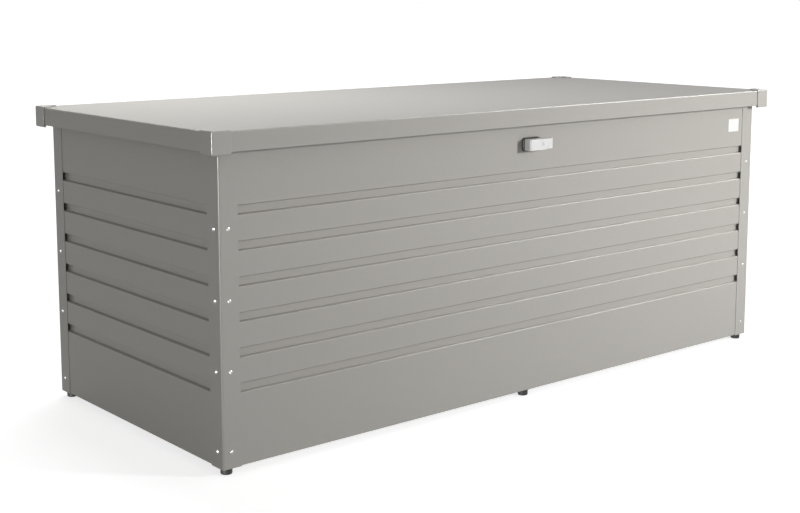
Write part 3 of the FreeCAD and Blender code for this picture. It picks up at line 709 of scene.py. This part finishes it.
polished = polished_steel()
enamel = strut_enamel()
dressed("hinge_pins", polished, "polished_steel", "chest")
for side in ("left", "right"):
    dressed("hinge_leaf_wall_" + side, galvanised, "galvanised_steel", "chest")
    dressed("hinge_leaf_lid_" + side, galvanised, "galvanised_steel", "lid")
    dressed("strut_bracket_wall_" + side, galvanised, "galvanised_steel", "chest")
    dressed("strut_bracket_lid_" + side, galvanised, "galvanised_steel", "lid")
    dressed("gas_strut_barrel_" + side, enamel, "strut_black", "strut_barrel_" + side)
    dressed("gas_strut_rod_" + side, polished, "polished_steel", "strut_rod_" + side)


# Lock inside: a bearing body behind the front wall, a cam on the handle's spindle, and two flat
# rods that it moves through their guides, in and out of the catches under the lid. Zinc-coated
# steel.
dressed("lock_body", galvanised, "galvanised_steel", "chest")
dressed("rod_guides", galvanised, "galvanised_steel", "chest")
dressed("lock_cam", galvanised, "galvanised_steel", "handle")
for side in ("left", "right"):
    dressed("latch_rod_" + side, galvanised, "galvanised_steel", "latch_" + side)
    dressed("lid_catch_" + side, galvanised, "galvanised_steel", "lid")


# Lock outside: a black moulded rosette on the wall, a satin-plated cast lever whose front bar is
# grooved off from the collar behind its hub, with its neck and spindle, and the round key cylinder
# in the hub. The lever's face is plain.
rosette_corner = 0.0080
rosette_edge = 0.0014
rosette_hole = 0.0101
lever_thickness = 0.0100
lever_tail = 0.0230
lever_rise = 0.0015
collar_end = 0.0216
collar_corner = 0.0020
groove_width = 0.0030
groove_inset = 0.0016
casting_corner = 0.0040
casting_edge = 0.0009
neck_radius = 0.0100
spindle_radius = 0.0050
spindle_square = 0.0070
square_length = 0.0037
bore_radius = 0.00925
bore_depth = 0.0140
key_edge = 0.00025
plug_radius = 0.0062
plug_gap = 0.0003
keyway = (0.0018, 0.0060, 0.0080)
plating_dark = (0.62, 0.62, 0.615, 1)
plating_light = (0.68, 0.68, 0.675, 1)
nearly_all = 0.99


def satin_plating():
    finish = Finish("satin_plating", metallic=0.1, gloss=0.0, coat=0.1, coat_roughness=0.15)
    finish.colour(finish.noise(size=0.012), plating_dark, plating_light)
    finish.roughness(finish.noise(size=0.0015), low=0.50, high=0.58)
    finish.relief(finish.noise(size=0.0009), depth=0.00001)
    return finish


def along(edge, axis):
    """Whether an edge runs along an axis, x, y or z."""
    run = edge.verts[0].co - edge.verts[1].co
    return abs(getattr(run, axis)) > nearly_all * run.length


def rosette_plate(name, low, high, axis):
    """Plate with round corners and a soft front edge, bored for the lever's neck."""
    piece = block(name, low, high)
    pick("EDGE", lambda edge: along(edge, "y"))
    bend(rosette_corner, steps=10)
    pick("EDGE", lambda edge: max(vert.co.y for vert in edge.verts) < low.y + cut_edge)
    bend(rosette_edge, steps=4)
    bpy.ops.object.mode_set(mode="OBJECT")
    bore_start = (axis.x, low.y - cut_edge, axis.z)
    cut_away(piece, round_bar("cutter", rosette_hole, bore_start, high.y + cut_edge))
    return piece


def cast_lever(name, low, high):
    """Lever drawn in plan with its corners rounded, then grooved, stepped and softened."""
    bar_back = low.y + lever_thickness
    collar_back = low.y + collar_end
    groove_back = bar_back + groove_width
    hub_end = high.x - lever_tail
    tiny = cut_edge
    piece = block(name, low, (high.x, bar_back, high.z))
    bpy.ops.mesh.select_all(action="SELECT")
    bpy.ops.mesh.bisect(plane_co=(hub_end, 0, 0), plane_no=(1, 0, 0))
    pick("FACE", lambda face: facing(face, 0, 1, 0) and middle(face).x < hub_end)
    extrude(0, collar_back - bar_back, 0)
    pick("EDGE", lambda edge: along(edge, "z") and middle(edge).y > collar_back - tiny)
    bend(collar_corner, steps=5)
    pick("EDGE", lambda edge: along(edge, "z") and (
        middle(edge).x > high.x - tiny
        or middle(edge).x < low.x + tiny and middle(edge).y < low.y + tiny))
    bend(casting_corner, steps=8)
    bpy.ops.object.mode_set(mode="OBJECT")
    ring = cutting_block((low.x - tiny, bar_back, low.z - tiny),
                         (hub_end + tiny, groove_back, high.z + tiny))
    cut_away(ring, cutting_block((low.x + groove_inset, bar_back - tiny, low.z + groove_inset),
                                 (hub_end + 2 * tiny, groove_back + tiny,
                                  high.z - groove_inset)))
    cut_away(piece, ring)
    cut_away(piece, cutting_block((hub_end, low.y - tiny, low.z - tiny),
                                  (high.x + tiny, bar_back + tiny, low.z + lever_rise)))
    soften(piece, casting_edge, steps=3, sharpest=40)
    return piece


def lever_shaft(axis, start, end):
    """Neck, spindle and square behind the lever."""
    square_start = end - square_length
    half = spindle_square / 2
    neck = round_bar("neck", neck_radius, (axis.x, start, axis.z), front_low.y)
    spindle = round_bar("spindle", spindle_radius, (axis.x, start, axis.z), square_start)
    square = cutting_block((axis.x - half, square_start - cut_edge, axis.z - half),
                           (axis.x + half, end, axis.z + half))
    return neck, spindle, square


def turned_key_cylinder(name, low, high):
    """Cylinder with a softened rim, a fine ring round the plug and a keyway."""
    centre = (low + high) / 2
    front = Vector((centre.x, low.y, centre.z))
    piece = round_bar(name, (high.x - low.x) / 2, front, high.y)
    soften(piece, key_edge)
    ring = round_bar("cutter", plug_radius, front - Vector((0, key_edge, 0)),
                     low.y + 2 * plug_gap)
    cut_away(ring, round_bar("core", plug_radius - plug_gap,
                             front - Vector((0, 2 * key_edge, 0)), centre.y))
    cut_away(piece, ring)
    width, depth, height = keyway
    cut_away(piece, cutting_block((front.x - width / 2, low.y - depth, front.z - height / 2),
                                  (front.x + width / 2, low.y + depth, front.z + height / 2)))
    return piece


plating = satin_plating()
rosette_low, rosette_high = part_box("lock_rosette")
lever_low, lever_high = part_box("lock_handle")
key_low, key_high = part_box("key_cylinder")
rosette = rosette_plate("moulded_rosette", rosette_low, rosette_high, lock_axis)
finished(rosette, moulding, "black_plastic", "chest", "lock_rosette")
lever = cast_lever("cast_lever", lever_low, lever_high)
key_middle = (key_low + key_high) / 2
bore_start = (key_middle.x, lever_low.y - cut_edge, key_middle.z)
cut_away(lever, round_bar("cutter", bore_radius, bore_start, lever_low.y + bore_depth))
shaft = lever_shaft(lock_axis, lever_low.y + collar_end - cut_edge, lever_high.y)
activate(lever)
for length in shaft:
    length.select_set(True)
bpy.ops.object.join()
finished(lever, plating, "lock_metal", "handle", "lock_handle")
key = turned_key_cylinder("turned_key_cylinder", key_low, key_high)
finished(key, plating, "lock_metal", "key", "key_cylinder")


# Badge: a small bare plate on the right of the front wall, with a slightly raised border. Pale
# glossy plastic, moulded in one piece and stuck flat on the paint.
badge_corner = 0.0025
badge_edge = 0.0003
badge_border = 0.0020
badge_field = 0.0003
badge_dark = (0.62, 0.62, 0.61, 1)
badge_light = (0.66, 0.66, 0.65, 1)


def pale_enamel():
    finish = Finish("pale_enamel", metallic=0.0, coat=0.3, coat_roughness=0.10)
    finish.colour(finish.noise(size=0.01), badge_dark, badge_light)
    finish.roughness(finish.noise(size=0.003), low=0.32, high=0.40)
    return finish


def bare_badge(name, low, high):
    """Plate with round corners, its field sunk inside the border."""
    piece = block(name, low, high)
    pick("EDGE", lambda edge: along(edge, "y"))
    bend(badge_corner, steps=6)
    pick("FACE", lambda face: facing(face, 0, -1, 0))
    bpy.ops.mesh.inset(thickness=badge_border)
    bpy.ops.mesh.inset(thickness=badge_field, depth=-badge_field)
    bpy.ops.object.mode_set(mode="OBJECT")
    soften(piece, badge_edge, sharpest=60)
    return piece


badge = bare_badge("bare_badge", *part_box("blank_badge"))
finished(badge, pale_enamel(), "badge_white", "chest", "blank_badge")


# Studio: a plain floor and a world that the camera sees as white, a soft key light on the right in
# front, a small soft light overhead, two lamps that only gloss shows, and a camera at the
# photograph's viewing angle.
floor_colour = (0.45, 0.45, 0.45, 1)
floor_roughness = 0.9
floor_size = 60.0
floor_glow = 0.72
shadow_reach = (1.2, 3.0)
white_light = (1, 1, 1, 1)
world_seen = 1.0
world_fill = 0.24
camera_place = (-2.2728, -2.6071, 0.9763)
camera_yaw = 0.6943
camera_pitch = 0.1357
camera_lens = 60.26
camera_sensor = 36
camera_shift = -0.10


def white_to_the_camera(tree, white, other):
    """Shader that is white to the camera, gloss and glass, and other to the rest."""
    path = tree.nodes.new("ShaderNodeLightPath")
    seen = path.outputs["Is Camera Ray"]
    for ray in ("Is Glossy Ray", "Is Transmission Ray"):
        either = tree.nodes.new("ShaderNodeMath")
        either.operation = "MAXIMUM"
        tree.links.new(seen, either.inputs[0])
        tree.links.new(path.outputs[ray], either.inputs[1])
        seen = either.outputs[0]
    choice = tree.nodes.new("ShaderNodeMixShader")
    tree.links.new(seen, choice.inputs["Fac"])
    tree.links.new(other, choice.inputs[1])
    tree.links.new(white, choice.inputs[2])
    return choice.outputs[0]


def background(tree, strength):
    glow = tree.nodes.new("ShaderNodeBackground")
    glow.inputs["Color"].default_value = white_light
    glow.inputs["Strength"].default_value = strength
    return glow.outputs[0]


def studio_world():
    world = bpy.data.worlds.new("studio")
    bpy.context.scene.world = world
    world.use_nodes = True
    tree = world.node_tree
    tree.nodes.clear()
    output = tree.nodes.new("ShaderNodeOutputWorld")
    shader = white_to_the_camera(tree, background(tree, world_seen), background(tree, world_fill))
    tree.links.new(shader, output.inputs["Surface"])


def studio_floor():
    """Floor that the camera sees as white, apart from the object's own shadow near it."""
    bpy.ops.object.select_all(action="DESELECT")
    bpy.ops.mesh.primitive_plane_add(size=floor_size, location=(0, 0, 0))
    floor = bpy.context.active_object
    floor.name = "studio_floor"
    material = bpy.data.materials.new("pale_floor")
    material.use_nodes = True
    tree = material.node_tree
    plain = tree.nodes["Principled BSDF"]
    plain.inputs["Base Color"].default_value = floor_colour
    plain.inputs["Roughness"].default_value = floor_roughness
    place = tree.nodes.new("ShaderNodeTexCoord")
    distance = tree.nodes.new("ShaderNodeVectorMath")
    distance.operation = "LENGTH"
    tree.links.new(place.outputs["Object"], distance.inputs[0])
    spread = tree.nodes.new("ShaderNodeMapRange")
    spread.inputs["From Min"].default_value = shadow_reach[0]
    spread.inputs["From Max"].default_value = shadow_reach[1]
    spread.inputs["To Min"].default_value = floor_glow
    tree.links.new(distance.outputs["Value"], spread.inputs["Value"])
    glow = tree.nodes.new("ShaderNodeEmission")
    tree.links.new(spread.outputs["Result"], glow.inputs["Strength"])
    both = tree.nodes.new("ShaderNodeAddShader")
    tree.links.new(plain.outputs[0], both.inputs[0])
    tree.links.new(glow.outputs[0], both.inputs[1])
    shader = white_to_the_camera(tree, both.outputs[0], plain.outputs[0])
    tree.links.new(shader, tree.nodes["Material Output"].inputs["Surface"])
    floor.data.materials.append(material)


def soft_light(name, place, target, width, height, power):
    light = bpy.data.lights.new(name, "AREA")
    light.shape = "RECTANGLE"
    light.size = width
    light.size_y = height
    light.energy = power
    lamp = bpy.data.objects.new(name, light)
    bpy.context.collection.objects.link(lamp)
    lamp.location = place
    lamp.rotation_euler = (Vector(target) - Vector(place)).to_track_quat("-Z", "Y").to_euler()
    return lamp


studio_world()
studio_floor()
key_lamp = soft_light("key_light", place=(1.6, -2.8, 1.2), target=(0.2, -0.37, 0.4),
                      width=0.4, height=0.4, power=87)
soft_light("overhead_light", place=(-0.5, 0.6, 1.9), target=(-0.5, 0.1, 0.7),
           width=0.6, height=0.8, power=22)
corner_gloss = soft_light("corner_gloss", place=(-4.5, -1.6, 1.0), target=(-0.9, -0.4, 0.5),
                          width=1.6, height=2.4, power=600)
edge_gloss = soft_light("edge_gloss", place=(3.4, -1.6, 3.0), target=(0, -0.4, 0.7),
                        width=2.0, height=2.0, power=350)
key_lamp.visible_glossy = False
corner_gloss.visible_diffuse = False
edge_gloss.visible_diffuse = False

bpy.ops.object.camera_add(location=camera_place,
                          rotation=(math.pi / 2 - camera_pitch, 0, -camera_yaw))
camera = bpy.context.active_object
camera.data.lens = camera_lens
camera.data.sensor_width = camera_sensor
camera.data.shift_y = camera_shift
bpy.context.scene.camera = camera
bpy.context.scene.view_settings.view_transform = "Standard"
